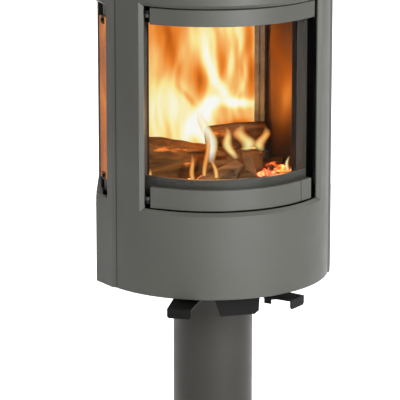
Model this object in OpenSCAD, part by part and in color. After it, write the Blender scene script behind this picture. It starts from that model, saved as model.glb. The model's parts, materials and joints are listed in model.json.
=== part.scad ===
// Round wood burning stove on a tubular pedestal.
// Origin: on the floor, on the axis of the pedestal column. +Z up, the door faces -Y.
// Angles are measured from the front (-Y) towards +X, about the axis of the round body.

/* [Pedestal] */
// Outer diameter of the pedestal column
column_d = 168.3; // [150:0.1:190]
// Wall of the column tube
column_wall = 4; // [3:0.5:6]
// Radius of the floor plate
base_r = 215; // [190:5:240]
// Thickness of the floor plate
base_t = 10; // [8:1:14]
// Height of the underside of the body above the floor
body_z = 440; // [420:5:470]

/* [Body] */
// Outer radius of the round front
body_r = 250; // [249:0.5:252]
// Height of the cast front
body_h = 690; // [680:5:720]
// Wall of the cast front
shell_t = 10; // [8:1:10]
// How far the body axis lies behind the column axis
body_back = 18; // [10:1:25]
// Half angle covered by the cast front
shell_half = 66.2; // [65:0.1:66.4]
// Distance from the body axis to the flat back
flat_back = 213; // [210:1:225]
// Thickness of the cast top
top_t = 12; // [8:1:16]

/* [Door opening] */
// Height of the opening's lower edge above the underside of the body
opening_low = 182; // [180:1:184]
// Height of the opening
opening_h = 420; // [418:1:422]
// Half angle of the opening
opening_half = 49.4; // [49:0.1:50]
// Chamfer round the opening
opening_chamfer = 7; // [4:0.5:7]

/* [Door] */
// Outer radius of the door rails
rail_r = 238; // [237:0.5:238]
// Half angle of the curved part of the rails
rail_curve = 36; // [35:0.5:37]
// Height of the upper rail
top_rail_h = 34.5; // [33:0.5:36]
// Height of the lower rail
low_rail_h = 44; // [42:0.5:45]
// Thickness of the door glass
glass_t = 4; // [3:0.5:4]

/* [Side windows] */
// Angle of the ridge that runs down each side casing
ridge_a = 83; // [82:0.5:84]
// Radius of that ridge
ridge_r = 258.5; // [257:0.5:260]
// Distance from the body axis to the outer face of a side glass
side_glass_d = 231; // [230:0.5:232]
// Width of a side glass
side_glass_w = 96; // [90:1:98]

/* [Flue] */
// Outer diameter of the flue spigot
flue_d = 148; // [120:1:150]
// Height of the spigot above the cast top
flue_h = 50; // [40:1:70]

/* [Hidden] */

round_fn = 96;
hole_fn = 48;
play = 0.05;
big = 400;
edge = 1.2;

// Heights
shell_top = body_z + body_h;
open_z1 = body_z + opening_low;
open_z2 = open_z1 + opening_h;
door_z1 = open_z1 + 2;
door_z2 = open_z2 - 3;
low_rail_z2 = door_z1 + low_rail_h;
top_rail_z1 = door_z2 - top_rail_h;
glass_z1 = low_rail_z2 - 12;
glass_z2 = door_z2 - 16;
frame_z1 = glass_z1 - 16;
frame_z2 = glass_z2 + 2;
floor_z = body_z + 175;
floor_t = 10;
ceiling_z = shell_top - 70;
plate_t = 6;

// Radii inside the body
shell_in = body_r - shell_t;
rail_t = 10;
glass_out = rail_r - rail_t - 1;
glass_in = glass_out - glass_t;
frame_out = glass_in - 0.5;
frame_in = frame_out - 7.5;
seal_in = frame_in - 3.5;
fixed_out = seal_in - 12;
fixed_in = fixed_out - 9;

// Door hinge and latch axes
hinge_a = -48;
hinge_r = rail_r;
pin_r = 4;
latch_a = 38.2;
latch_r = rail_r - 5.5;
door_end_a = 47.3;
door_start_a = hinge_a - 6.6;

function polar(r, a) = [r * sin(a), -r * cos(a)];

module at_body() {
    translate([0, body_back, 0]) children();
}

// Ring sector between two radii, two angles and two heights
module arc_wall(r1, r2, a1, a2, z1, z2) {
    arc_bar(a1, a2) {
        translate([r1, z1]) square([r2 - r1, z2 - z1]);
    }
}

// A flat profile in radius and height, swept from one angle to another
module arc_bar(a1, a2) {
    rotate([0, 0, a1 - 90]) rotate_extrude(angle = a2 - a1, $fn = round_fn * 2) children();
}

// The same kind of profile, run straight along the tangent at an angle
module tangent_bar(a, length) {
    rotate([0, 0, a - 90])
        translate([0, max(length, 0), 0])
            rotate([90, 0, 0])
                linear_extrude(height = abs(length)) children();
}

module plan_slab(points, z1, z2) {
    translate([0, 0, z1]) linear_extrude(height = z2 - z1) polygon(points);
}

module hex_screw(af, head_h, r, length) {
    cylinder(d = af / cos(30), h = head_h, $fn = 6);
    translate([0, 0, -length]) cylinder(r = r, h = length, $fn = hole_fn);
}

module both_sides() {
    children();
    mirror([1, 0, 0]) children();
}

// ---------------------------------------------------------------- pedestal

anchor_pcd = 360;
anchor_r = 5.5;
column_top_z = body_z - 8;
column_flange_r = 98;
column_bolt_r = 91.5;

module base_plate() {
    color("#3a3a38")
        difference() {
            rotate_extrude($fn = round_fn * 2)
                polygon([
                    [0, 0], [base_r, 0], [base_r, base_t - 2], [base_r - 2, base_t], [0, base_t]
                ]);
            for (a = [45 : 90 : 315])
                rotate([0, 0, a])
                    translate([anchor_pcd / 2, 0, -1])
                        cylinder(r = anchor_r, h = base_t + 2, $fn = hole_fn);
        }
}

module column_tube() {
    color("#4c4944")
        translate([0, 0, base_t])
            difference() {
                cylinder(d = column_d, h = column_top_z - base_t, $fn = round_fn * 2);
                translate([0, 0, -1])
                    cylinder(d = column_d - 2 * column_wall, h = column_top_z, $fn = round_fn * 2);
            }
}

module column_bolt_places() {
    for (a = [45 : 90 : 315])
        rotate([0, 0, a]) translate([column_bolt_r, 0, 0]) children();
}

module column_top_plate() {
    color("#33312e")
        difference() {
            translate([0, 0, column_top_z])
                cylinder(r = column_flange_r, h = body_z - column_top_z, $fn = round_fn);
            column_bolt_places()
                translate([0, 0, column_top_z - 1]) cylinder(r = 3.5, h = 10, $fn = hole_fn);
        }
}

module column_bolts() {
    color("#6a6a66")
        column_bolt_places()
            translate([0, 0, column_top_z - 0.2]) {
                rotate([180, 0, 0]) cylinder(d = 10 / cos(30), h = 4, $fn = 6);
                cylinder(r = 3, h = 13, $fn = hole_fn);
            }
}

// ---------------------------------------------------------------- outer casing

// Plan outline of the casing: the front arc, the two ridged sides and the flat back
flank_a = 121.5;
strip_r = body_r + 3.4;
strip_a = 69;

function side_outline(grow) = concat(
    [polar(body_r + grow - 3, shell_half)],
    [polar(strip_r + grow, strip_a)],
    [polar(ridge_r + grow, ridge_a)],
    [polar(body_r + grow - 2, flank_a)]
);

module casing_plan(grow) {
    intersection() {
        union() {
            circle(r = body_r + grow, $fn = round_fn * 2);
            both_sides() polygon(concat([[0, 0]], side_outline(grow)));
        }
        translate([-big, -big]) square([2 * big, big + flat_back + grow]);
    }
}

module opening_cutter(half, z1, z2, chamfer) {
    reach = chamfer + 1;
    land = body_r - chamfer;
    side_land = land - 0.4;
    wider = half + reach / body_r * 180 / PI;
    intersection() {
        arc_bar(-half - 8, half + 8)
            polygon([
                [land - 60, z1], [land, z1], [land + reach, z1 - reach],
                [land + reach, z2 + reach], [land, z2], [land - 60, z2]
            ]);
        plan_slab([
            polar(land - 80, -half), polar(side_land, -half), polar(land + reach, -wider),
            polar(2 * body_r, 0), polar(land + reach, wider), polar(side_land, half),
            polar(land - 80, half)
        ], z1 - 20, z2 + 20);
    }
}

module front_shell() {
    color("#6d6c68")
        at_body()
            difference() {
                arc_bar(-shell_half, shell_half)
                    polygon([
                        [shell_in, body_z], [body_r - 1, body_z], [body_r, body_z + 1],
                        [body_r, shell_top - 1], [body_r - 1, shell_top], [shell_in, shell_top]
                    ]);
                opening_cutter(opening_half, open_z1, open_z2, opening_chamfer);
            }
}

// Window in a side casing: a recessed band with sloping sills, open in its middle
window_front_w = 44;
window_rear_w = 52;
window_z1 = open_z1 + 4;
window_z2 = open_z2 - 11;
casing_wall = 14;
recess = 10;

module across_ridge(y1, y2) {
    rotate([0, 0, ridge_a - 90])
        translate([0, y2, 0]) rotate([90, 0, 0]) linear_extrude(height = y2 - y1) children();
}

module window_opening() {
    across_ridge(-window_front_w, window_rear_w)
        translate([150, window_z1]) square([150, window_z2 - window_z1]);
}

// Sinks the outside of the casing between two sloping sills
module window_recess() {
    difference() {
        across_ridge(-window_front_w, 200)
            polygon([
                [150, window_z1], [ridge_r - recess, window_z1], [ridge_r + 5, window_z1 - recess - 5],
                [ridge_r + 5, window_z2 + recess + 5], [ridge_r - recess, window_z2], [150, window_z2]
            ]);
        plan_slab([
            [0, 0], polar(strip_r - recess, strip_a), polar(ridge_r - recess, ridge_a),
            polar(body_r - recess, flank_a), polar(body_r - recess, flank_a + 10)
        ], window_z1 - 40, window_z2 + 40);
    }
}

side_groove = 0.6;

module side_casing() {
    difference() {
        plan_slab([
            polar(body_r - 1.2, shell_half + side_groove), polar(strip_r, strip_a),
            polar(ridge_r, ridge_a), polar(body_r, flank_a - 0.1),
            polar(body_r - casing_wall, flank_a - 0.1), polar(ridge_r - casing_wall - 1, ridge_a),
            polar(strip_r - casing_wall, strip_a), polar(shell_in + 0.3, shell_half + side_groove)
        ], body_z, shell_top);
        window_recess();
        window_opening();
    }
}

module right_side_casing() {
    color("#4a473d") at_body() side_casing();
}

module left_side_casing() {
    color("#4a473d") at_body() mirror([1, 0, 0]) side_casing();
}

rear_t = 3;
vent_w = 60;

module rear_casing() {
    color("#383633")
        at_body()
            difference() {
                translate([0, 0, body_z + 4])
                    linear_extrude(height = body_h - 4)
                        difference() {
                            casing_plan(0);
                            intersection() {
                                circle(r = body_r - rear_t, $fn = round_fn * 2);
                                translate([-big, -big])
                                    square([2 * big, big + flat_back - rear_t]);
                            }
                            polygon([
                                [0, 0], polar(big, flank_a + 0.2), [big, -big],
                                [-big, -big], polar(big, -flank_a - 0.2)
                            ]);
                        }
                for (z = [body_z + 30, body_z + 45, body_z + 60, body_z + 560, body_z + 575, body_z + 590])
                    for (x = [-75, 0, 75])
                        translate([x - vent_w / 2, flat_back - 10, z]) cube([vent_w - 15, 20, 6]);
            }
}

module rear_heat_shield() {
    color("#5d5c58")
        at_body()
            plan_slab([
                [-120, 176], [120, 176], [120, 177.5], [-120, 177.5]
            ], body_z + 60, ceiling_z - 4);
}

module rear_outlet_cover() {
    color("#42403c")
        at_body()
            translate([0, flat_back, body_z + 470])
                rotate([-90, 0, 0])
                    difference() {
                        cylinder(r = 84, h = 4, $fn = round_fn);
                        for (a = [90, 210, 330])
                            rotate([0, 0, a])
                                translate([74, 0, -1]) cylinder(r = 3.2, h = 6, $fn = hole_fn);
                    }
}

module cover_screws() {
    color("#75756f")
        at_body()
            translate([0, flat_back + 4, body_z + 470])
                rotate([-90, 0, 0])
                    for (a = [90, 210, 330])
                        rotate([0, 0, a]) translate([74, 0, 0]) cylinder(d = 11, h = 3.5, $fn = 6);
}

// Right half of the plan inside the casings, with a clearance to the side casing
function inside_half(d) = [
    [0, -big], [big, -big], polar(big, shell_half), polar(shell_in + 0.3 - d, shell_half + 0.5),
    polar(strip_r - casing_wall - d, strip_a), polar(ridge_r - casing_wall - 1 - d, ridge_a),
    polar(body_r - casing_wall - d, flank_a + 0.3), polar(big, flank_a + 0.3), [0, big]
];

module bottom_plate() {
    color("#2c2a28")
        at_body()
            difference() {
                translate([0, 0, body_z])
                    linear_extrude(height = plate_t)
                        intersection() {
                            circle(r = shell_in - 0.4, $fn = round_fn * 2);
                            both_sides() polygon(inside_half(0.6));
                            translate([-big, -big]) square([2 * big, big + flat_back - rear_t - 0.5]);
                        }
                riddling_slot();
                air_slots(primary_pivot, primary_turn);
                air_slots(secondary_pivot, secondary_turn);
                translate([0, -body_back, 0])
                    column_bolt_places()
                        translate([0, 0, body_z - 1]) cylinder(r = 3.5, h = plate_t + 2, $fn = hole_fn);
                lever_pin_hole(primary_pivot);
                lever_pin_hole(secondary_pivot);
            }
}

module top_plate() {
    color("#5c5a56")
        at_body()
            difference() {
                union() {
                    translate([0, 0, shell_top]) linear_extrude(height = top_t - 3) casing_plan(1.5);
                    translate([0, 0, shell_top + top_t - 3]) linear_extrude(height = 3) casing_plan(-0.5);
                }
                translate([0, flue_y, shell_top - 1])
                    cylinder(d = flue_d + 0.6, h = top_t + 2, $fn = round_fn);
                spigot_screw_places()
                    translate([0, 0, shell_top - 1]) cylinder(r = 3.3, h = 20, $fn = hole_fn);
            }
}

flue_y = 40;
flue_wall = 4;

module spigot_screw_places() {
    for (a = [30, 150, 270])
        translate([0, flue_y, 0]) rotate([0, 0, a]) translate([flue_d / 2 + 12, 0, 0]) children();
}

module flue_spigot() {
    color("#33322f")
        at_body()
            difference() {
                translate([0, flue_y, 0])
                    rotate_extrude($fn = round_fn)
                        polygon([
                            [flue_d / 2 - flue_wall, ceiling_z + plate_t + 0.5],
                            [flue_d / 2, ceiling_z + plate_t + 0.5],
                            [flue_d / 2, shell_top + top_t], [flue_d / 2 + 20, shell_top + top_t],
                            [flue_d / 2 + 20, shell_top + top_t + 5], [flue_d / 2, shell_top + top_t + 5],
                            [flue_d / 2, shell_top + top_t + flue_h],
                            [flue_d / 2 - flue_wall, shell_top + top_t + flue_h]
                        ]);
                spigot_screw_places()
                    translate([0, 0, shell_top]) cylinder(r = 3.3, h = 40, $fn = hole_fn);
            }
}

module spigot_screws() {
    color("#75756f")
        at_body()
            spigot_screw_places()
                translate([0, 0, shell_top + top_t + 5]) hex_screw(10, 4, 3, 14);
}

// ---------------------------------------------------------------- firebox

rear_in = 100;
post_x = 136;
flank_front = [221, 22];
firebox_front_r = fixed_in;

// Plan of the firebox inside its walls, right half from the door to the middle of the back
function firebox_half(d) = [
    polar(firebox_front_r - 2 - d, 0), polar(firebox_front_r + 3 - d, 30), polar(firebox_front_r + 6 - d, 62),
    polar(side_glass_d - 10 - d, 74), [flank_front[0] - 6 - d, flank_front[1] - d],
    [post_x - d, rear_in + 22 - d], [0, rear_in + 22 - d]
];

module firebox_plan(d) {
    both_sides() polygon(firebox_half(d));
}

module front_frame() {
    color("#3d3b36")
        at_body()
            difference() {
                arc_wall(fixed_in, fixed_out, -58, 58, floor_z + floor_t, ceiling_z);
                arc_wall(fixed_in - 5, fixed_out + 5, -57, 46, floor_z + floor_t + 34, door_z2 - 18);
            }
}

module front_post() {
    plan_slab([
        polar(fixed_in, 58.2), polar(fixed_out + 22, 58.2), polar(fixed_out + 25, 64),
        polar(side_glass_d - 2, 69), polar(side_glass_d - 12, 70), polar(fixed_in + 6, 66)
    ], floor_z + floor_t, ceiling_z);
}

module right_front_post() {
    color("#3d3b36") at_body() front_post();
}

module left_front_post() {
    color("#3d3b36") at_body() mirror([1, 0, 0]) front_post();
}

module rear_post() {
    z1 = floor_z + floor_t;
    difference() {
        union() {
            plan_slab([
                [post_x - 16, rear_in - 14], [post_x + 4, rear_in - 22], [post_x + 12, rear_in - 10],
                [post_x + 12, rear_in + 6], [post_x - 16, rear_in + 6]
            ], z1, ceiling_z);
            plan_slab([
                [post_x - 22, rear_in - 26], [post_x + 4, rear_in - 32], [post_x + 15, rear_in - 20],
                [post_x + 12, rear_in - 10], [post_x + 4, rear_in - 22], [post_x - 16, rear_in - 14]
            ], z1, z1 + 46);
        }
        translate([post_x - 4, rear_in - 20, z1 + 60]) cylinder(r = 4, h = ceiling_z, $fn = hole_fn);
    }
}

module right_rear_post() {
    color("#6a675f") at_body() rear_post();
}

module left_rear_post() {
    color("#6a675f") at_body() mirror([1, 0, 0]) rear_post();
}

module flank_wall() {
    plan_slab([
        [post_x + 12.5, rear_in - 9], flank_front, [flank_front[0] + 4, flank_front[1] + 3.5],
        [post_x + 16, rear_in + 5], [post_x + 12.5, rear_in + 5]
    ], floor_z + floor_t, ceiling_z);
}

module right_flank_wall() {
    color("#2b2825") at_body() flank_wall();
}

module left_flank_wall() {
    color("#2b2825") at_body() mirror([1, 0, 0]) flank_wall();
}

module rear_wall() {
    color("#2b2825")
        at_body()
            plan_slab([
                [-post_x - 12, rear_in + 32], [post_x + 12, rear_in + 32],
                [post_x + 12, rear_in + 36], [-post_x - 12, rear_in + 36]
            ], floor_z + floor_t, ceiling_z);
}

brick_h = 330;

module brick(x1, x2) {
    translate([x1 + 0.5, rear_in + 7, floor_z + floor_t])
        cube([x2 - x1 - 1, 24.5, brick_h]);
}

module left_brick() {
    color("#b9a98c") at_body() brick(-post_x, -52);
}

module rear_brick() {
    color("#b9a98c") at_body() brick(-52, 52);
}

module right_brick() {
    color("#b9a98c") at_body() brick(52, post_x);
}

grate_y = -30;
grate_r = 74;

module firebox_floor() {
    color("#3a3733")
        at_body()
            difference() {
                translate([0, 0, floor_z])
                    linear_extrude(height = floor_t) firebox_plan(0);
                translate([0, grate_y, floor_z - 1])
                    cylinder(r = 62, h = floor_t + 2, $fn = round_fn);
                translate([-bar_w / 2 - 3, -182, floor_z - 1]) cube([bar_w + 6, 60, floor_t + 2]);
            }
}

module firebox_ceiling() {
    color("#2b2825")
        at_body()
            difference() {
                translate([0, 0, ceiling_z]) linear_extrude(height = plate_t) firebox_plan(-4);
                translate([0, flue_y, ceiling_z - 1])
                    cylinder(r = flue_d / 2 - flue_wall, h = plate_t + 2, $fn = round_fn);
            }
}

baffle_z = ceiling_z - 42;

module baffle_board() {
    color("#c2b497")
        at_body()
            plan_slab([
                [-150, -95], [150, -95], [156, 50], [112, 74], [112, 99],
                [-112, 99], [-112, 74], [-156, 50]
            ], baffle_z, baffle_z + 22);
}

module baffle_rests() {
    color("#55524c")
        at_body()
            both_sides()
                translate([92, -60, baffle_z - 12]) cube([18, 150, 11.5]);
}

// ---------------------------------------------------------------- side windows

side_frame_z1 = floor_z + floor_t;
side_pane_z1 = side_frame_z1 + 28;
side_pane_z2 = window_z2 - 36;

module at_side_window() {
    rotate([0, 0, ridge_a - 90]) translate([side_glass_d, 0, 0]) children();
}

module window_frame() {
    at_side_window()
        difference() {
            plan_slab([
                [-16, -side_glass_w / 2], [-4.5, -side_glass_w / 2], [-4.5, side_glass_w / 2 - 12],
                [-9, side_glass_w / 2], [-16, side_glass_w / 2]
            ], side_frame_z1, ceiling_z);
            translate([-20, -side_glass_w / 2 + 10, side_pane_z1 + 14])
                cube([20, side_glass_w - 20, side_pane_z2 - side_pane_z1 - 24]);
        }
}

module window_glass() {
    at_side_window()
        translate([-glass_t, -side_glass_w / 2 + 2, side_pane_z1])
            cube([glass_t, side_glass_w - 4, side_pane_z2 - side_pane_z1]);
}

module window_clips() {
    at_side_window()
        for (z = [side_pane_z1 + 6, side_pane_z2 - 6], y = [-24, 24])
            translate([0.2, y, z]) {
                translate([0, -8, -8]) cube([1.5, 16, 16]);
                translate([1.5, 0, 0]) rotate([0, 90, 0]) cylinder(d = 7.5, h = 2.5, $fn = 6);
            }
}

module right_window_frame() {
    color("#1d1b19") at_body() window_frame();
}

module left_window_frame() {
    color("#1d1b19") at_body() mirror([1, 0, 0]) window_frame();
}

module right_window_glass() {
    color([0.3, 0.25, 0.2, 0.5]) at_body() window_glass();
}

module left_window_glass() {
    color([0.3, 0.25, 0.2, 0.5]) at_body() mirror([1, 0, 0]) window_glass();
}

module right_window_clips() {
    color("#1d1b19") at_body() window_clips();
}

module left_window_clips() {
    color("#1d1b19") at_body() mirror([1, 0, 0]) window_clips();
}

// ---------------------------------------------------------------- ash chamber

ash_y1 = -110;
ash_y2 = 90;
ash_z1 = body_z + 40;

module ash_chamber() {
    color("#2b2825")
        at_body()
            difference() {
                translate([-115, ash_y1, ash_z1]) cube([230, ash_y2 - ash_y1, floor_z - ash_z1 - 0.3]);
                translate([-111, ash_y1 + 4, ash_z1 + 4])
                    cube([222, ash_y2 - ash_y1 - 8, floor_z - ash_z1]);
            }
}

module ash_pan() {
    color("#77746c")
        at_body()
            difference() {
                translate([-90, ash_y1 + 14, ash_z1 + 4.2]) cube([180, 170, 70]);
                translate([-88, ash_y1 + 16, ash_z1 + 6.2]) cube([176, 166, 80]);
            }
}

// ---------------------------------------------------------------- door

rail_face = [rail_r - rail_t, rail_r];

// Profile of a rail between two heights, with small bevels on its outer edges
module rail_profile(z1, z2) {
    polygon([
        [rail_face[0], z1], [rail_face[1] - edge, z1], [rail_face[1], z1 + edge],
        [rail_face[1], z2 - edge], [rail_face[1] - edge, z2], [rail_face[0], z2]
    ]);
}

rail_tab = 41.5;

module door_top_rail() {
    color("#8a8981")
        at_body() {
            arc_bar(-rail_curve, rail_curve) rail_profile(top_rail_z1, door_z2);
            tangent_bar(rail_curve, rail_tab) rail_profile(top_rail_z1, door_z2);
            mirror([1, 0, 0])
                tangent_bar(rail_curve, rail_tab) rail_profile(top_rail_z1, door_z2);
        }
}

module door_bottom_rail() {
    color("#5d5b53")
        at_body() {
            arc_bar(-rail_curve, rail_curve) rail_profile(door_z1, low_rail_z2);
            mirror([1, 0, 0])
                tangent_bar(rail_curve, rail_tab) rail_profile(door_z1, low_rail_z2);
        }
}

lip_z2 = low_rail_z2 + 18;
stile_a = 1.5;

module door_inner_frame() {
    color("#55534c")
        at_body() {
            difference() {
                arc_wall(frame_in, frame_out, door_start_a, door_end_a, frame_z1, frame_z2);
                arc_wall(frame_in - 2, frame_out + 2, door_start_a + stile_a, door_end_a - stile_a,
                    lip_z2, top_rail_z1);
            }
            arc_wall(frame_in + 0.4, frame_out - 0.4, latch_a - 4, latch_a + 5, door_z1 + 1, frame_z1 + 1);
            hinge_lug(frame_z2 - 6.4, frame_z2);
            hinge_lug(frame_z1, frame_z1 + 6.4);
            arc_wall(frame_out, rail_face[0] - 0.05, -20, 20, frame_z1 + 2, glass_z1 - 2);
            arc_wall(frame_out, rail_face[0] - 0.05, -20, 20, glass_z2 - 6, frame_z2);
            latch_lug(latch_z1 - 6.5);
            latch_lug(latch_z2 + 0.5);
        }
}

module hinge_lug(z1, z2) {
    difference() {
        union() {
            translate(concat(polar(hinge_r, hinge_a), [z1])) cylinder(r = 5.4, h = z2 - z1, $fn = hole_fn);
            plan_slab([
                polar(frame_out - 0.2, hinge_a - 1), polar(hinge_r, hinge_a - 1),
                polar(hinge_r, hinge_a + 1), polar(frame_out - 0.2, hinge_a + 1)
            ], z1, z2);
        }
        translate(concat(polar(hinge_r, hinge_a), [z1 - 1])) cylinder(r = pin_r, h = 10, $fn = hole_fn);
    }
}

module hinge_pins() {
    color("#75756f")
        at_body()
            for (z = [frame_z1 - 7.8, frame_z2 - 6.4])
                translate(concat(polar(hinge_r, hinge_a), [z])) cylinder(r = pin_r, h = 14.2, $fn = hole_fn);
}

module hinge_ear(z1, z2) {
    difference() {
        union() {
            translate(concat(polar(hinge_r, hinge_a), [z1])) cylinder(r = 5.4, h = z2 - z1, $fn = hole_fn);
            plan_slab([
                polar(fixed_out + 0.1, hinge_a - 1.4), polar(hinge_r, hinge_a - 0.9),
                polar(hinge_r, hinge_a + 0.9), polar(fixed_out + 0.1, hinge_a + 1.4)
            ], z1, z2);
        }
        translate(concat(polar(hinge_r, hinge_a), [z1 - 1]))
            cylinder(r = pin_r + play, h = 12, $fn = hole_fn);
    }
}

module hinge_ears() {
    color("#55534c")
        at_body() {
            hinge_ear(frame_z2 + 0.4, frame_z2 + 7);
            hinge_ear(frame_z1 - 7, frame_z1 - 0.4);
        }
}

module door_glass() {
    color([0.5, 0.4, 0.3, 0.4])
        at_body() arc_wall(glass_in, glass_out, door_start_a + 0.2, door_end_a - 0.4, glass_z1, glass_z2 - 7);
}

// Rope round the inside of the frame, thin beside the hinge and full where it meets the fixed frame
module door_rope_seal() {
    z1 = glass_z1 - 6;
    color("#2a2825")
        at_body()
            difference() {
                union() {
                    arc_wall(seal_in, frame_in, door_start_a + 0.2, door_end_a, z1, glass_z2);
                    arc_wall(fixed_out + 2.4, seal_in + 1, hinge_a + 6, door_end_a - 0.2, z1 + 0.5, glass_z2 - 0.5);
                }
                arc_wall(fixed_out - 1, frame_in + 1, door_start_a + 1.4, door_end_a - 1.6,
                    glass_z1 + 2, glass_z2 - 8);
            }
}

module door_glass_clips() {
    color("#6a6a66")
        at_body()
            for (a = [-30, 0, 30])
                arc_wall(glass_out + 0.1, rail_face[0] - 0.1, a - 2, a + 2, glass_z2 - 20, glass_z2 - 9);
}

// ---------------------------------------------------------------- latch

latch_z1 = door_z1 + 8;
latch_z2 = glass_z1 - 7;

module latch_lug(z) {
    difference() {
        union() {
            plan_slab([
                polar(frame_in + 2, latch_a - 1.1), polar(latch_r, latch_a - 0.6),
                polar(latch_r, latch_a + 0.6), polar(frame_in + 2, latch_a + 1.1)
            ], z, z + 6);
            translate(concat(polar(latch_r, latch_a), [z])) cylinder(r = 3.8, h = 6, $fn = hole_fn);
        }
        translate(concat(polar(latch_r, latch_a), [z - 1])) cylinder(r = latch_pin_r, h = 8, $fn = hole_fn);
    }
}

latch_pin_r = 2;
latch_room = 4.4;

module latch_pin() {
    color("#75756f")
        at_body()
            translate(concat(polar(latch_r, latch_a), [latch_z1 - 6.4]))
                cylinder(r = latch_pin_r, h = latch_z2 - latch_z1 + 12.8, $fn = hole_fn);
}

// Grip at the free end of the lower rail, hollowed behind to take the lugs of the door frame
module latch_handle() {
    grip = 33;
    gap = 1.9;
    color("#66645c")
        at_body()
            difference() {
                union() {
                    difference() {
                        tangent_bar(rail_curve, gap + grip) rail_profile(door_z1, low_rail_z2);
                        rotate([0, 0, rail_curve - 90])
                            translate([rail_face[0] - 30, -5, 0]) {
                                cube([80, 5 + gap, big * 4]);
                                cube([33.2, 17, big * 4]);
                            }
                    }
                    translate(concat(polar(latch_r, latch_a), [latch_z1 + 0.5]))
                        cylinder(r = 4, h = latch_z2 - latch_z1 - 1, $fn = hole_fn);
                }
                translate(concat(polar(latch_r, latch_a), [latch_z1 - 7]))
                    cylinder(r = latch_pin_r + play, h = latch_z2 - latch_z1 + 14, $fn = hole_fn);
                for (z = [latch_z1 - 7.2, latch_z2])
                    translate(concat(polar(latch_r, latch_a), [z]))
                        rotate([0, 0, latch_a - 90]) {
                            cylinder(r = latch_room, h = 7.2, $fn = hole_fn);
                            translate([-30, -latch_room - 2, 0]) cube([30, 2 * latch_room + 4, 7.2]);
                        }
            }
}

module latch_keeper() {
    color("#6a6a66")
        at_body()
            arc_wall(fixed_out, fixed_out + 1.6, 39, 45, floor_z + floor_t + 4, floor_z + floor_t + 26);
}

// ---------------------------------------------------------------- air levers

primary_pivot = [-66, -116];
secondary_pivot = [30, -127];
lever_z = body_z - 13;
lever_t = 3;
lever_pin_r = 4;
flange_h = 20;
shutter_z = body_z - 3.5;

module lever_pin_hole(pivot) {
    translate([pivot[0], pivot[1], body_z - 1]) cylinder(r = lever_pin_r, h = plate_t + 2, $fn = hole_fn);
}

// Bent plate lever: pivot eye at the origin, arm along -Y, flange turned down at its end
module bent_lever(reach, rear_w, front_w, height) {
    corner = 4;
    difference() {
        union() {
            linear_extrude(height = lever_t)
                polygon([
                    [-9, 12], [9, 12], [rear_w / 2, -reach * 0.45], [front_w / 2, -reach],
                    [-front_w / 2, -reach], [-rear_w / 2, -reach * 0.45]
                ]);
            translate([0, -reach, lever_t])
                rotate([90, 0, 0])
                    linear_extrude(height = lever_t)
                        polygon([
                            [-front_w / 2, 0], [-front_w / 2, -height + corner],
                            [-front_w / 2 + corner, -height], [front_w / 2 - corner, -height],
                            [front_w / 2, -height + corner], [front_w / 2, 0]
                        ]);
        }
        translate([0, 0, -1]) cylinder(r = lever_pin_r + play, h = lever_t + 2, $fn = hole_fn);
    }
}

primary_turn = -27;
secondary_turn = 41;
primary_reach = 152;
secondary_reach = 138;

module primary_lever() {
    color("#1b1917")
        at_body()
            translate([primary_pivot[0], primary_pivot[1], lever_z])
                rotate([0, 0, primary_turn]) bent_lever(primary_reach, 58, 50, flange_h);
}

module secondary_lever() {
    color("#1b1917")
        at_body()
            translate([secondary_pivot[0], secondary_pivot[1], lever_z])
                rotate([0, 0, secondary_turn]) {
                    bent_lever(secondary_reach, 58, 50, flange_h);
                    side_tab();
                }
}

// Stop tab folded down at the side of the lever
module side_tab() {
    translate([-29, -90, 0]) linear_extrude(height = lever_t) polygon([[6, 20], [-7, 8], [-7, -8], [6, -20]]);
    translate([-36, -98, -9]) cube([3, 16, 9 + lever_t]);
}

// Shutter plate that rides just under the body's floor, on a hub above the lever
module shutter(turn) {
    rotate([0, 0, turn])
        difference() {
            union() {
                cylinder(r = 8, h = shutter_z + 3 - lever_z - lever_t, $fn = hole_fn);
                translate([0, 0, shutter_z - lever_z - lever_t])
                    linear_extrude(height = 3)
                        polygon([[-7, -2], [7, -2], [24, -64], [-24, -64]]);
            }
            translate([0, 0, -1]) cylinder(r = lever_pin_r + play, h = 20, $fn = hole_fn);
        }
}

module primary_shutter() {
    color("#4a4843")
        at_body()
            translate([primary_pivot[0], primary_pivot[1], lever_z + lever_t]) shutter(primary_turn);
}

module secondary_shutter() {
    color("#4a4843")
        at_body()
            translate([secondary_pivot[0], secondary_pivot[1], lever_z + lever_t]) shutter(secondary_turn);
}

module lever_pin(pivot) {
    translate([pivot[0], pivot[1], lever_z - 0.5]) {
        cylinder(r = lever_pin_r, h = body_z + plate_t - lever_z, $fn = hole_fn);
        translate([0, 0, -3]) cylinder(d = 13, h = 3, $fn = 6);
    }
}

module primary_pin() {
    color("#75756f") at_body() lever_pin(primary_pivot);
}

module secondary_pin() {
    color("#75756f") at_body() lever_pin(secondary_pivot);
}

// Air slots in the body's floor, above each shutter
module air_slots(pivot, turn) {
    translate([pivot[0], pivot[1], body_z - 1])
        rotate([0, 0, turn])
            for (y = [-56, -42, -28])
                translate([-14, y, 0]) cube([28, 7, plate_t + 2]);
}

// ---------------------------------------------------------------- riddling gear

bar_w = 20;
bar_y = -150;
riddle_stroke = 22;
riddle_face_y = -214;
riddle_w = 96;

module riddling_slot() {
    translate([-bar_w / 2 - 3, bar_y - riddle_stroke - 4, body_z - 1])
        cube([bar_w + 6, riddle_stroke + 14, plate_t + 2]);
}

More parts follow.
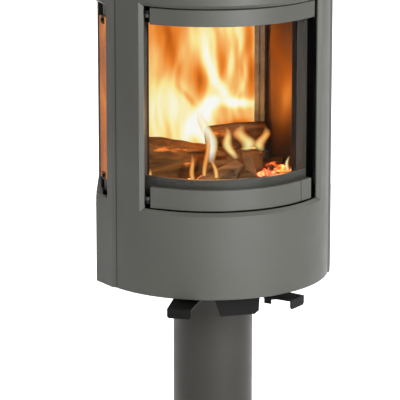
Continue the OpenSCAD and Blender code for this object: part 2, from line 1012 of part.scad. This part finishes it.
module riddling_lever() {
    color("#1b1917")
        at_body()
            translate([0, 0, lever_z]) {
                translate([-bar_w / 2, riddle_face_y, 0]) cube([bar_w, bar_y + 6 - riddle_face_y, lever_t]);
                translate([0, riddle_face_y, lever_t])
                    rotate([90, 0, 0])
                        linear_extrude(height = lever_t)
                            polygon([
                                [-riddle_w / 2 - 4, 6], [-riddle_w / 2 + 9, -33],
                                [riddle_w / 2 - 13, -33], [riddle_w / 2 - 4, -26], [riddle_w / 2 - 2, 6]
                            ]);
            }
}

module riddling_bar() {
    color("#4a4843")
        at_body()
            translate([-bar_w / 2, bar_y, lever_z + lever_t])
                cube([bar_w, 5, floor_z + floor_t + 0.3 - lever_z - lever_t]);
}

module shaker_grate() {
    z = floor_z + floor_t + 0.3;
    color("#4a4843")
        at_body()
            difference() {
                union() {
                    translate([0, grate_y, z]) cylinder(r = grate_r, h = 8, $fn = round_fn);
                    translate([-bar_w / 2, bar_y, z]) cube([bar_w, grate_y - bar_y, 8]);
                }
                for (x = [-48 : 16 : 48])
                    translate([x - 4, grate_y - slot_half(x), z - 1])
                        cube([8, 2 * slot_half(x), 10]);
            }
}

function slot_half(x) = sqrt(58 * 58 - x * x);

base_plate();
column_tube();
column_top_plate();
column_bolts();
bottom_plate();
front_shell();
left_side_casing();
right_side_casing();
rear_casing();
rear_heat_shield();
rear_outlet_cover();
cover_screws();
top_plate();
flue_spigot();
spigot_screws();
front_frame();
left_front_post();
right_front_post();
left_rear_post();
right_rear_post();
left_flank_wall();
right_flank_wall();
rear_wall();
rear_brick();
left_brick();
right_brick();
firebox_floor();
firebox_ceiling();
baffle_board();
baffle_rests();
left_window_frame();
right_window_frame();
left_window_glass();
right_window_glass();
left_window_clips();
right_window_clips();
ash_chamber();
ash_pan();
hinge_ears();
latch_keeper();
door_top_rail();
door_bottom_rail();
door_inner_frame();
door_glass();
door_rope_seal();
door_glass_clips();
hinge_pins();
latch_pin();
latch_handle();
primary_lever();
primary_shutter();
primary_pin();
secondary_lever();
secondary_shutter();
secondary_pin();
riddling_lever();
riddling_bar();
shaker_grate();
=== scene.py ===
import json
import math
import random

import bmesh
import bpy
from mathutils import Matrix, Vector, noise


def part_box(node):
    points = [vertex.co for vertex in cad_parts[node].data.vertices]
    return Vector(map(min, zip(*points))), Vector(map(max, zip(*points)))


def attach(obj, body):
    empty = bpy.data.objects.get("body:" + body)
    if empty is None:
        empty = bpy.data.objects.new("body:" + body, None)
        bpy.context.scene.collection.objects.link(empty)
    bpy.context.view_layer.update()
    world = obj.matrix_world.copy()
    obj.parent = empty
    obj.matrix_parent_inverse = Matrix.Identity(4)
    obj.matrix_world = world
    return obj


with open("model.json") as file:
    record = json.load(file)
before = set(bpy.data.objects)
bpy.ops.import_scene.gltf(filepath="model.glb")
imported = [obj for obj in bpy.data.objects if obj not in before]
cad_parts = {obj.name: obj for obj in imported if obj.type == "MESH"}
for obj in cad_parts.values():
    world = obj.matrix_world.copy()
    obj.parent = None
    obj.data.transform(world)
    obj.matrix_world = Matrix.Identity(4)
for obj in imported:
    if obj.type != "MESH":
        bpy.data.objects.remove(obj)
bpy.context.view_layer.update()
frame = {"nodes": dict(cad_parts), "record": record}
nodes = frame["nodes"]

# ---------------------------------------------------------------- driving places, in metres

SHELL_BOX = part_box("front_shell")
BODY_RADIUS = 0.250
BODY_AXIS = Vector((0, SHELL_BOX[0].y + BODY_RADIUS, 0))
GRATE_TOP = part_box("shaker_grate")[1].z
FLOOR_HALF = 50
LOG_RING_STEP = 0.006


# ---------------------------------------------------------------- material helpers


class Nodes:
    """A small builder for one node material."""

    def __init__(self, name):
        self.material = bpy.data.materials.new(name)
        self.material.use_nodes = True
        self.tree = self.material.node_tree
        self.shader = self.tree.nodes["Principled BSDF"]
        self.place = self.add("ShaderNodeTexCoord").outputs["Object"]

    def add(self, kind, **settings):
        node = self.tree.nodes.new(kind)
        for key, value in settings.items():
            setattr(node, key, value)
        return node

    def link(self, start, end):
        self.tree.links.new(start, end)

    def mapping(self, scale):
        node = self.add("ShaderNodeMapping")
        self.link(self.place, node.inputs["Vector"])
        node.inputs["Scale"].default_value = scale
        return node.outputs["Vector"]

    def noise(self, scale, detail=3.0, roughness=0.5, vector=None, distortion=0.0):
        node = self.add("ShaderNodeTexNoise")
        self.link(self.place if vector is None else vector, node.inputs["Vector"])
        node.inputs["Scale"].default_value = scale
        node.inputs["Detail"].default_value = detail
        node.inputs["Roughness"].default_value = roughness
        node.inputs["Distortion"].default_value = distortion
        return node.outputs["Fac"]

    def ramp(self, factor, stops):
        node = self.add("ShaderNodeValToRGB")
        elements = node.color_ramp.elements
        elements[0].position, elements[1].position = stops[0][0], stops[-1][0]
        for at, _ in stops[1:-1]:
            elements.new(at)
        for element, (_, colour) in zip(elements, stops):
            element.color = (*colour, 1)
        self.link(factor, node.inputs["Fac"])
        return node.outputs["Color"]

    def grey_ramp(self, factor, stops):
        return self.ramp(factor, [(at, (v, v, v)) for at, v in stops])

    def math(self, operation, a, b):
        node = self.add("ShaderNodeMath", operation=operation)
        for socket, value in zip(node.inputs, (a, b)):
            if isinstance(value, (int, float)):
                socket.default_value = value
            else:
                self.link(value, socket)
        return node.outputs[0]

    def bump(self, height, strength, distance):
        node = self.add("ShaderNodeBump")
        node.inputs["Strength"].default_value = strength
        node.inputs["Distance"].default_value = distance
        self.link(height, node.inputs["Height"])
        self.link(node.outputs["Normal"], self.shader.inputs["Normal"])

    def shine(self, level):
        """How strongly the surface mirrors its surroundings; 0.5 is usual."""
        self.shader.inputs["Specular IOR Level"].default_value = level

    def set(self, **values):
        for key, value in values.items():
            socket = self.shader.inputs[key.replace("_", " ")]
            if isinstance(value, (int, float, tuple)):
                socket.default_value = value
            else:
                self.link(value, socket)
        return self


def painted(name, dark, light, roughness=(0.40, 0.50), metallic=0.15, grain=0.25, shine=0.35):
    """Stove paint with a little metal in it: fine sparkle, slow tone changes and a slight orange peel."""
    n = Nodes(name)
    tone = n.noise(3.0, 3, 0.55)
    flake = n.noise(900.0, 2, 0.6)
    fleck = n.grey_ramp(flake, [(0.35, 0.0), (0.7, 1.0)])
    mixed = n.math("ADD", n.math("MULTIPLY", tone, 1.0 - grain), n.math("MULTIPLY", fleck, grain))
    colour = n.ramp(mixed, [(0.2, dark), (0.75, light)])
    rough = n.grey_ramp(n.noise(14.0, 4, 0.6), [(0.3, roughness[0]), (0.7, roughness[1])])
    n.set(Base_Color=colour, Roughness=rough, Metallic=metallic)
    n.shine(shine)
    peel = n.math("ADD", n.noise(260.0, 2, 0.5), n.math("MULTIPLY", n.noise(1400.0, 2, 0.5), 0.4))
    n.bump(peel, 0.12, 0.0004)
    return n.material


def cast_iron(name, dark, light, roughness=(0.5, 0.75), metallic=0.3, depth=0.0008):
    """Sand-cast iron: pitted skin with soot in its hollows."""
    n = Nodes(name)
    coarse = n.noise(26.0, 5, 0.65)
    colour = n.ramp(coarse, [(0.3, dark), (0.7, light)])
    rough = n.grey_ramp(n.noise(60.0, 3, 0.6), [(0.3, roughness[0]), (0.7, roughness[1])])
    n.set(Base_Color=colour, Roughness=rough, Metallic=metallic)
    n.bump(n.noise(420.0, 4, 0.6), 0.35, depth)
    return n.material


def steel(name, base, roughness):
    """Bare steel, finely brushed."""
    n = Nodes(name)
    brushed = n.noise(180.0, 3, 0.6, n.mapping(scale=(1, 1, 12)))
    dark = tuple(0.75 * c for c in base)
    n.set(Base_Color=n.ramp(brushed, [(0.3, dark), (0.7, base)]), Metallic=1.0)
    n.set(Roughness=n.grey_ramp(brushed, [(0.3, roughness), (0.7, roughness + 0.15)]))
    n.bump(brushed, 0.1, 0.0002)
    return n.material


def fire_board():
    """Heat-proof board, sooty in patches."""
    n = Nodes("fire_board")
    soot = n.noise(7.0, 4, 0.6)
    colour = n.ramp(soot, [(0.3, (0.05, 0.03, 0.015)), (0.55, (0.28, 0.16, 0.07)), (0.8, (0.5, 0.33, 0.16))])
    n.set(Base_Color=colour, Roughness=0.9)
    n.bump(n.noise(240.0, 3, 0.7), 0.5, 0.0012)
    return n.material


def fire_glass(name, cover):
    """Heat-proof glass with an uneven film of soot."""
    n = Nodes(name)
    n.set(Base_Color=n.ramp(n.noise(9.0), [(0.3, (0.010, 0.007, 0.005)), (0.7, (0.018, 0.012, 0.008))]))
    n.set(Roughness=0.06, IOR=1.45)
    n.set(Alpha=n.grey_ramp(n.noise(5.0, 3, 0.6), [(0.3, cover[0]), (0.75, cover[1])]))
    return n.material


def painted_firelight_glass():
    """Side pane close to the fire, with a film of soot: its orange emission is painted firelight, a glow
    that stands in for the fire's light seen through the pane.
    """
    n = Nodes("painted_firelight_glass")
    licks = n.noise(9.0, 3, 0.55, n.mapping(scale=(1, 1, 0.45)), 0.8)
    n.set(Base_Color=n.ramp(licks, [(0.3, (0.02, 0.010, 0.004)), (0.7, (0.04, 0.02, 0.008))]))
    # painted firelight: the pane itself glows orange though it is no lamp
    n.set(Roughness=0.08, IOR=1.45, Emission_Strength=1.0)
    n.set(Emission_Color=n.ramp(licks, [
        (0.30, (0.20, 0.036, 0.001)), (0.5, (0.58, 0.15, 0.004)), (0.7, (0.80, 0.30, 0.015)),
    ]))
    n.set(Alpha=n.grey_ramp(n.noise(5.0, 3, 0.6), [(0.3, 0.5), (0.75, 0.65)]))
    n.shine(0.05)
    return n.material


def rope():
    """Woven sealing rope, blackened."""
    n = Nodes("rope")
    weave = n.noise(700.0, 2, 0.5)
    colour = n.ramp(weave, [(0.3, (0.006, 0.005, 0.004)), (0.7, (0.024, 0.021, 0.018))])
    n.set(Base_Color=colour, Roughness=0.95)
    n.bump(weave, 0.8, 0.001)
    return n.material


SLOT_MATERIALS = {
    "grey_paint": painted("grey_paint", (0.034, 0.032, 0.026), (0.051, 0.049, 0.043)),
    "pedestal_paint": painted(
        "pedestal_paint", (0.021, 0.018, 0.015), (0.032, 0.029, 0.025), metallic=0.3, shine=0.25,
    ),
    "back_paint": painted("back_paint", (0.05, 0.048, 0.045), (0.08, 0.077, 0.073), (0.5, 0.62)),
    "black_iron": cast_iron("black_iron", (0.010, 0.009, 0.008), (0.035, 0.031, 0.027)),
    "grey_iron": cast_iron("grey_iron", (0.10, 0.10, 0.09), (0.26, 0.26, 0.23)),
    "black_steel": painted(
        "black_steel", (0.0025, 0.0022, 0.002), (0.006, 0.0055, 0.005), (0.38, 0.5), 0.0, shine=0.07,
    ),
    "bright_steel": steel("bright_steel", (0.42, 0.42, 0.41), 0.32),
    "fire_board": fire_board(),
    "fire_glass": fire_glass("fire_glass", (0.02, 0.05)),
    "rope": rope(),
}

SLOT_OF = {entry["node"]: entry["material_slot"] for entry in frame["record"]["subparts"]}


def dress(node, material):
    slots = nodes[node].data.materials
    slots.clear()
    slots.append(material)


for node_name, slot_name in SLOT_OF.items():
    dress(node_name, SLOT_MATERIALS[slot_name])

dress("door_inner_frame", painted("lip_paint", (0.018, 0.017, 0.014), (0.032, 0.030, 0.026), shine=0.2))
BURNT_STEEL = steel("burnt_steel", (0.13, 0.07, 0.035), 0.33)
for flank in ("left_flank_wall", "right_flank_wall"):
    dress(flank, BURNT_STEEL)
for dark_piece in ("hinge_pins", "hinge_ears", "right_front_post", "front_frame", "right_window_frame"):
    dress(dark_piece, SLOT_MATERIALS["black_steel"])
# the left pane is dressed with painted firelight
dress("left_window_glass", painted_firelight_glass())
dress("right_window_glass", fire_glass("soot_glass", (0.975, 0.995)))

# ---------------------------------------------------------------- fire materials


def flame(name, strength):
    """Glowing gas: its colour follows the heat drawn into the sheet, thinned out by its cover; the same
    material also paints the fire's reflection on the right wall.
    """
    n = Nodes(name)
    heat = n.add("ShaderNodeAttribute", attribute_name="warmth").outputs["Fac"]
    cover = n.add("ShaderNodeAttribute", attribute_name="cover").outputs["Fac"]
    licks = n.noise(34.0, 3, 0.6, n.mapping(scale=(1, 1, 0.2)))
    fine = n.math("MULTIPLY", n.math("SUBTRACT", licks, 0.5), 0.3)
    glow = n.ramp(n.math("ADD", heat, fine), [
        (0.05, (0.20, 0.030, 0.002)),
        (0.25, (0.62, 0.13, 0.008)),
        (0.42, (0.90, 0.26, 0.030)),
        (0.58, (0.98, 0.50, 0.14)),
        (0.72, (1.0, 0.82, 0.30)),
        (0.86, (1.0, 0.95, 0.62)),
        (1.0, (1.0, 1.0, 0.95)),
    ])
    n.set(Base_Color=(0.0, 0.0, 0.0, 1), Roughness=1.0, Emission_Color=glow, Emission_Strength=strength)
    n.set(Alpha=cover)
    n.shine(0.0)
    return n.material


def wood(name, dark, light, glow=0.0):
    """Burning firewood: fibrous bark, charred in patches, with a faint glow in its cracks."""
    n = Nodes(name)
    fibre = n.noise(30.0, 5, 0.65, n.mapping(scale=(0.25, 1.6, 1.6)), 0.6)
    char = n.noise(16.0, 3, 0.6)
    n.set(Base_Color=n.ramp(fibre, [(0.3, dark), (0.7, light)]), Roughness=0.9)
    crack = n.ramp(n.math("MULTIPLY", fibre, char), [(0.33, (0.0, 0.0, 0.0)), (0.42, (1.0, 0.22, 0.02))])
    n.set(Emission_Color=crack, Emission_Strength=glow)
    n.bump(fibre, 0.9, 0.004)
    n.shine(0.05)
    return n.material


def ember():
    """Charcoal that glows in its hollows and is ashen outside."""
    n = Nodes("ember")
    lumps = n.noise(55.0, 4, 0.6)
    ash = n.ramp(lumps, [(0.35, (0.02, 0.012, 0.010)), (0.65, (0.16, 0.12, 0.10))])
    n.set(Base_Color=ash, Roughness=0.95)
    n.set(Emission_Color=n.ramp(lumps, [
        (0.42, (0.0, 0.0, 0.0)),
        (0.50, (0.7, 0.06, 0.01)),
        (0.58, (1.0, 0.28, 0.04)),
        (0.68, (1.0, 0.72, 0.25)),
    ]), Emission_Strength=2.2)
    n.bump(lumps, 0.8, 0.003)
    return n.material


# one glowing material for the flames and for the painted reflection on the right wall
FLAME_AND_PAINTED_REFLECTION = flame("flame", 1.0)
BARK = wood("bark", (0.008, 0.004, 0.001), (0.12, 0.045, 0.010), 0.8)
SPLIT = wood("split_wood", (0.02, 0.010, 0.004), (0.14, 0.070, 0.026), 0.3)
EMBER = ember()

# ---------------------------------------------------------------- fire, logs and embers


def place(x, y, z):
    """A point in metres about the body's axis and above the floor."""
    return Vector((x, BODY_AXIS.y + y, z))


def add_piece(name, verts, faces, material, smooth=True):
    mesh = bpy.data.meshes.new(name)
    mesh.from_pydata([tuple(v) for v in verts], [], faces)
    mesh.materials.append(material)
    for face in mesh.polygons:
        face.use_smooth = smooth
    piece = bpy.data.objects.new(name, mesh)
    bpy.context.scene.collection.objects.link(piece)
    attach(piece, "stove")
    return piece


def streak(x, z, seed):
    """Tall wavering streaks, about -1 to 1."""
    slow = 0.022 * noise.noise(Vector((x * 11, z * 6, seed)))
    warp = slow + 0.012 * noise.noise(Vector((x * 25, z * 16, seed + 5)))
    wide = noise.noise(Vector(((x + warp) * 26, z * 6, seed + 1.7)))
    fine = noise.noise(Vector(((x + 1.4 * warp) * 64, z * 13, seed + 4.2)))
    return 1.1 * wide + 0.7 * fine


def emissive_sheet(name, path, low, high, field, seed, wave=0.006, step=0.003):
    """A wavering sheet over a plan path; field(along, height) gives its heat and its cover."""
    points = [place(x, y, 0) for x, y in path]
    lengths = [0.0]
    for a, b in zip(points, points[1:]):
        lengths.append(lengths[-1] + (b - a).length)
    columns = int(lengths[-1] / step) + 1
    rows = int((high - low) / (1.4 * step)) + 1
    verts, heats, covers = [], [], []
    for i in range(columns + 1):
        along = lengths[-1] * i / columns
        k = max(j for j in range(len(points) - 1) if lengths[j] <= along + 1e-9)
        run = (points[k + 1] - points[k]).normalized()
        spot = points[k] + run * (along - lengths[k])
        side = Vector((-run.y, run.x, 0))
        for j in range(rows + 1):
            z = low + (high - low) * j / rows
            swell = wave * noise.noise(Vector((along * 22, z * 12, seed)))
            heat, cover = field(along, z)
            verts.append(spot + side * swell + Vector((0, 0, z)))
            heats.append(min(1.0, max(0.0, heat)))
            covers.append(min(1.0, max(0.0, cover)))
    width = rows + 1
    faces = [
        (i * width + j, (i + 1) * width + j, (i + 1) * width + j + 1, i * width + j + 1)
        for i in range(columns) for j in range(rows)
    ]
    piece = add_piece(name, verts, faces, FLAME_AND_PAINTED_REFLECTION)
    for label, values in (("warmth", heats), ("cover", covers)):
        layer = piece.data.attributes.new(label, "FLOAT", "POINT")
        layer.data.foreach_set("value", values)
    return piece


def spots(x, z, table):
    """Sum of soft tilted ellipses: centre, half sizes, lean and amount."""
    total = 0.0
    for cx, cz, rx, rz, lean, amount in table:
        dz = (z - cz) / rz
        dx = (x - cx - lean * (z - cz)) / rx
        total += amount * math.exp(-(dx * dx + dz * dz))
    return total


BACK_SPOTS = [
    (0.020, 0.868, 0.011, 0.040, -0.25, 0.34),
    (0.046, 0.815, 0.013, 0.036, -0.55, 0.42),
    (0.024, 0.780, 0.022, 0.018, 0.9, 0.34),
    (-0.006, 0.742, 0.022, 0.030, 0.6, 0.40),
    (0.012, 0.706, 0.018, 0.024, -0.6, 0.40),
    (0.085, 0.778, 0.034, 0.010, -0.9, 0.46),
    (-0.060, 0.765, 0.060, 0.045, 0.0, 0.14),
    (-0.116, 0.810, 0.014, 0.080, 0.0, 0.16),
    (0.010, 0.925, 0.028, 0.045, 0.0, 0.20),
    (0.066, 0.860, 0.008, 0.050, 0.15, 0.18),
    (0.096, 0.815, 0.006, 0.036, 0.1, 0.22),
    (-0.002, 0.836, 0.017, 0.042, -0.1, -0.40),
    (-0.026, 0.795, 0.008, 0.022, -0.8, -0.22),
    (-0.080, 0.930, 0.034, 0.060, -0.2, -0.26),
    (-0.052, 0.870, 0.012, 0.050, -0.2, -0.18),
    (0.108, 0.915, 0.013, 0.060, 0.0, -0.36),
    (0.080, 0.880, 0.008, 0.050, 0.0, -0.26),
    (0.113, 0.835, 0.010, 0.040, 0.0, -0.26),
    (0.086, 0.730, 0.034, 0.012, 0.0, -0.36),
]


def back_field(along, z):
    x = along - 0.158
    heat = 0.63 + 0.23 * streak(x, z, 2.0) + spots(x, z, BACK_SPOTS)
    tip = 0.985 + 0.03 * streak(x * 1.5, 0.2, 8.0)
    return heat - 0.5 * max(0.0, z - 0.93), 1.0 - max(0.0, z - tip) / 0.03


def side_field(along, z):
    heat = 0.60 + 0.30 * streak(along, z, 11.0) - 3.0 * max(0.0, z - 0.80) - 5.0 * max(0.0, 0.70 - z)
    tip = 0.87 + 0.06 * streak(along * 1.2, 0.5, 12.0)
    return heat, 1.0 - max(0.0, z - tip) / 0.06


# Painted reflection of the fire on the right wall: a brighter core and the soft patches that set the sheet's
# cover.
PAINTED_REFLECTION_CORE = [(0.062, 0.790, 0.018, 0.050, 0.15, 0.14)]
PAINTED_REFLECTION_SPOTS = [
    (0.060, 0.800, 0.026, 0.070, 0.15, 0.80),
    (0.034, 0.890, 0.022, 0.060, -0.20, 0.55),
]


def painted_reflection_field(along, z):
    """Painted reflection: an emissive sheet that paints a blurred orange glow of the fire on the sooty right
    wall, out of the bottom and the front corner.
    """
    heat = 0.22 + 0.14 * streak(0.5 * along, z, 21.0) + spots(along, z, PAINTED_REFLECTION_CORE)
    return heat, spots(along, z, PAINTED_REFLECTION_SPOTS)


emissive_sheet("flame_back", [(-0.158, 0.090), (0.140, 0.086)], 0.632, 1.014, back_field, 1.0)
emissive_sheet("flame_left", [(-0.150, 0.076), (-0.176, 0.030), (-0.186, -0.040)], 0.640, 1.0, side_field, 3.0)
# painted reflection: an emissive sheet paints the fire's orange glow on the right wall
emissive_sheet("painted_fire_reflection_right", [(0.1440, 0.0980), (0.2120, 0.0170)], 0.660, 0.985, painted_reflection_field, 7.0, 0.001)


def tongue(name, centre, width, base, top, lean, seed, bright):
    """One free flame: narrow foot, full belly and a bent tip that fades out."""
    x0, y0 = centre

    def field(along, z):
        h = (z - base) / (top - base)
        middle = 0.5 * width * 2.2 + lean * (z - base) + 0.14 * width * math.sin(7 * h + seed)
        half = 0.5 * width * (0.35 + 1.5 * h * (1 - h) ** 0.8) * (1 - h * h * 0.55)
        d = abs(along - middle) / max(half, 1e-4)
        body = max(0.0, 1 - d * d)
        fade = min(1.0, 4 * h + 0.2) * min(1.0, 3.2 * (1 - h))
        heat = bright * (0.50 + 0.45 * body) - 0.15 * h + 0.14 * streak(along, z, seed)
        return heat, 0.9 * body ** 0.8 * fade

    span = 2.2 * width
    path = [(x0 - span / 2, y0), (x0 + span / 2, y0 + 0.004)]
    emissive_sheet(name, path, base, top, field, seed, wave=0.003, step=0.0015)


def log_frame(start, end):
    """A log's length and its three directions: along, sideways and upwards."""
    axis = end - start
    length = axis.length
    axis.normalize()
    side = axis.cross(Vector((0, 0, 1))).normalized()
    return length, axis, side, side.cross(axis)


def log_rings(length):
    return max(12, int(length / LOG_RING_STEP))


def log_faces(rings, around):
    """The skin between the rings and one flat face at each end."""
    faces = []
    for i in range(rings):
        for k in range(around):
            a, b = i * around + k, i * around + (k + 1) % around
            faces.append((a, b, b + around, a + around))
    faces.append(tuple(reversed(range(around))))
    faces.append(tuple(range(rings * around, (rings + 1) * around)))
    return faces


def log(name, start, end, radius, material, seed, taper=0.85, rough=0.14):
    """A round log with a knobbly skin and flat sawn ends."""
    length, axis, side, up = log_frame(start, end)
    rings, around = log_rings(length), 40
    verts = []
    for i in range(rings + 1):
        t = i / rings
        r = radius * (1 - (1 - taper) * t)
        for k in range(around):
            a = 2 * math.pi * k / around
            round_way = Vector((math.cos(a) * 1.6, math.sin(a) * 1.6, t * length * 14 + seed))
            ridge = Vector((math.cos(a) * 7, math.sin(a) * 7, t * length * 24 + seed))
            rr = r * (1 + rough * noise.noise(round_way) + 0.5 * rough * noise.noise(ridge))
            verts.append(start + axis * (t * length) + side * (rr * math.cos(a)) + up * (rr * math.sin(a)))
    return add_piece(name, verts, log_faces(rings, around), material)


def split_log(name, start, end, size, turn, material, seed):
    """A cleft log: wedge section, torn faces and an uneven back."""
    length, axis, side, up = log_frame(start, end)
    outline = []
    for k in range(36):
        a = 2 * math.pi * k / 36
        wedge = 1.0 / max(abs(math.cos(a)) * 1.0 + abs(math.sin(a)) * 0.9, 0.2)
        outline.append((size * 0.62 * wedge * math.cos(a + turn), size * 0.62 * wedge * math.sin(a + turn)))
    rings = log_rings(length)
    verts = []
    for i in range(rings + 1):
        t = i / rings
        for k, (u, v) in enumerate(outline):
            wobble = 1 + 0.10 * noise.noise(Vector((u * 40, v * 40, t * 3 + seed)))
            wobble += 0.05 * noise.noise(Vector((u * 160, v * 160, t * length * 30 + seed)))
            verts.append(start + axis * (t * length) + side * (u * wobble) + up * (v * wobble))
    return add_piece(name, verts, log_faces(rings, len(outline)), material, False)


log("log_big", place(-0.172, -0.030, 0.690), place(0.050, -0.015, 0.664), 0.056, BARK, 1.0, 0.66)
log("log_back", place(0.006, 0.052, 0.712), place(0.134, 0.046, 0.718), 0.027, BARK, 4.0, 0.95)
log("log_low", place(0.000, 0.020, 0.668), place(0.112, 0.006, 0.664), 0.029, BARK, 7.0, 0.9)
split_log("split_left", place(-0.050, -0.112, 0.650), place(0.046, -0.062, 0.672), 0.027, 0.5, SPLIT, 2.0)
split_log("split_right", place(0.052, -0.104, 0.657), place(0.066, -0.020, 0.677), 0.033, 0.2, SPLIT, 5.0)
split_log("stump", place(0.118, 0.020, 0.652), place(0.160, 0.004, 0.656), 0.030, 0.8, SPLIT, 8.0)
log("log_side", place(0.164, -0.040, 0.652), place(0.186, 0.010, 0.656), 0.020, BARK, 9.0)

for label, centre, width, base, top, lean, seed, bright in (
    ("flame_a", (-0.150, -0.110), 0.014, 0.648, 0.694, -0.25, 1.0, 0.80),
    ("flame_b", (-0.066, -0.112), 0.018, 0.648, 0.720, -0.10, 2.0, 0.62),
    ("flame_c", (-0.040, -0.104), 0.018, 0.648, 0.768, 0.05, 3.0, 0.68),
    ("flame_d", (-0.012, -0.112), 0.016, 0.648, 0.712, -0.30, 4.0, 0.74),
    ("flame_e", (-0.014, -0.080), 0.042, 0.690, 0.806, -0.25, 5.0, 1.0),
    ("flame_h", (0.034, -0.060), 0.036, 0.690, 0.760, -0.30, 8.0, 0.90),
    ("flame_f", (0.080, 0.004), 0.060, 0.690, 0.748, -0.20, 6.0, 0.80),
    ("flame_i", (0.110, 0.000), 0.040, 0.690, 0.742, 0.20, 9.0, 0.72),
    ("flame_g", (0.150, -0.060), 0.014, 0.650, 0.690, 0.10, 7.0, 0.95),
):
    tongue(label, centre, width, base, top, lean, seed, bright)


def ember_bed(name, count, centre, spread, low, size, seed):
    """Loose lumps of charcoal piled on the grate."""
    rng = random.Random(seed)
    verts, faces = [], []
    for _ in range(count):
        shape = bmesh.new()
        bmesh.ops.create_icosphere(shape, subdivisions=2, radius=1.0)
        r = rng.uniform(0.5, 1.0) * size
        spot = place(
            centre[0] + rng.gauss(0, 0.45) * spread[0], centre[1] + rng.gauss(0, 0.45) * spread[1],
            low + r * rng.uniform(0.4, 1.9),
        )
        turn = Matrix.Rotation(rng.uniform(0, 6.28), 3, "Z") @ Matrix.Rotation(rng.uniform(0, 3.14), 3, "X")
        key = rng.uniform(0, 50)
        base = len(verts)
        shape.verts.ensure_lookup_table()
        for v in shape.verts:
            bulge = 1 + 0.35 * noise.noise(v.co * 1.7 + Vector((key, 0, 0)))
            lump = Vector((v.co.x * 1.25 * r * bulge, v.co.y * r * bulge, v.co.z * 0.75 * r * bulge))
            verts.append(spot + turn @ lump)
        faces.extend(tuple(base + v.index for v in f.verts) for f in shape.faces)
        shape.free()
    return add_piece(name, verts, faces, EMBER, False)


ember_bed("embers_right", 110, (0.142, -0.046), (0.044, 0.050), GRATE_TOP + 0.001, 0.013, 4)
ember_bed("embers_middle", 120, (-0.020, -0.050), (0.120, 0.090), GRATE_TOP + 0.001, 0.010, 9)

# ---------------------------------------------------------------- camera

VIEW_AZIMUTH = -15.0
VIEW_PITCH = 13.9
VIEW_DISTANCE = 5.70
VIEW_HEIGHT = 2.0006
VIEW_ASIDE = 0.0229
SENSOR = 36.0
LENS_PIXELS = 2771.0
FRAME_PIXELS = 400.0


def make_camera():
    a, e = math.radians(VIEW_AZIMUTH), math.radians(VIEW_PITCH)
    towards = Vector((math.sin(a), -math.cos(a), 0))
    right = Vector((math.cos(a), math.sin(a), 0))
    data = bpy.data.cameras.new("camera")
    data.sensor_width = SENSOR
    data.lens = SENSOR * LENS_PIXELS / FRAME_PIXELS
    data.clip_start, data.clip_end = 0.1, 60
    camera = bpy.data.objects.new("camera", data)
    camera.location = BODY_AXIS + towards * VIEW_DISTANCE - right * VIEW_ASIDE + Vector((0, 0, VIEW_HEIGHT))
    back = Vector((math.sin(a) * math.cos(e), -math.cos(a) * math.cos(e), math.sin(e)))
    camera.rotation_mode = "QUATERNION"
    camera.rotation_quaternion = (-back).to_track_quat("-Z", "Y")
    bpy.context.scene.collection.objects.link(camera)
    bpy.context.scene.camera = camera


make_camera()

# ---------------------------------------------------------------- floor, world and lights


def make_floor():
    mesh = bpy.data.meshes.new("studio_floor")
    corners = [(x * FLOOR_HALF, y * FLOOR_HALF, 0) for x, y in ((-1, -1), (1, -1), (1, 1), (-1, 1))]
    mesh.from_pydata(corners, [], [(0, 1, 2, 3)])
    floor = bpy.data.objects.new("studio_floor", mesh)
    bpy.context.scene.collection.objects.link(floor)
    n = Nodes("studio_floor")
    n.set(Base_Color=n.grey_ramp(n.noise(0.4), [(0.3, 0.9), (0.7, 0.93)]), Roughness=0.85)
    mesh.materials.append(n.material)


def make_world():
    """A soft studio: brightest in front of the stove, dim behind it."""
    world = bpy.data.worlds.new("studio")
    bpy.context.scene.world = world
    world.use_nodes = True
    tree = world.node_tree
    place_node = tree.nodes.new("ShaderNodeTexCoord")
    turn = tree.nodes.new("ShaderNodeVectorMath")
    turn.operation = "DOT_PRODUCT"
    turn.inputs[1].default_value = Vector((0.10, -0.95, 0.30)).normalized()
    tree.links.new(place_node.outputs["Generated"], turn.inputs[0])
    ramp = tree.nodes.new("ShaderNodeMapRange")
    ramp.inputs["From Min"].default_value = -0.8
    ramp.inputs["From Max"].default_value = 1.0
    ramp.inputs["To Min"].default_value = 0.04
    ramp.inputs["To Max"].default_value = 0.42
    tree.links.new(turn.outputs["Value"], ramp.inputs["Value"])
    background = tree.nodes["Background"]
    background.inputs["Color"].default_value = (1, 1, 1, 1)
    tree.links.new(ramp.outputs["Result"], background.inputs["Strength"])


def area_light(name, spot, target, size, power, colour=(1, 1, 1)):
    data = bpy.data.lights.new(name, "AREA")
    data.shape = "RECTANGLE"
    data.size, data.size_y = size
    data.energy = power
    data.color = colour
    light = bpy.data.objects.new(name, data)
    light.location = spot
    light.rotation_mode = "QUATERNION"
    light.rotation_quaternion = (Vector(target) - Vector(spot)).to_track_quat("-Z", "Y")
    bpy.context.scene.collection.objects.link(light)


def glow_light(name, spot, power, size, colour):
    data = bpy.data.lights.new(name, "POINT")
    data.energy = power
    data.shadow_soft_size = size
    data.color = colour
    light = bpy.data.objects.new(name, data)
    light.location = spot
    bpy.context.scene.collection.objects.link(light)


make_floor()
make_world()
area_light("backdrop", (0, 5.2, 4.6), (0, 5.3, 0), (16, 11), 1150)
area_light("key", (0.95, -3.5, 2.3), (0, 0, 0.8), (0.8, 2.2), 400, (0.93, 0.98, 1.0))
glow_light("fire_core", place(-0.02, -0.03, 0.79), 1.3, 0.06, (1.0, 0.42, 0.10))
glow_light("fire_front", place(-0.03, -0.13, 0.78), 0.5, 0.04, (1.0, 0.46, 0.13))
glow_light("fire_low", place(0.11, -0.12, 0.70), 0.25, 0.02, (1.0, 0.40, 0.10))
bpy.context.scene.view_settings.view_transform = "Standard"
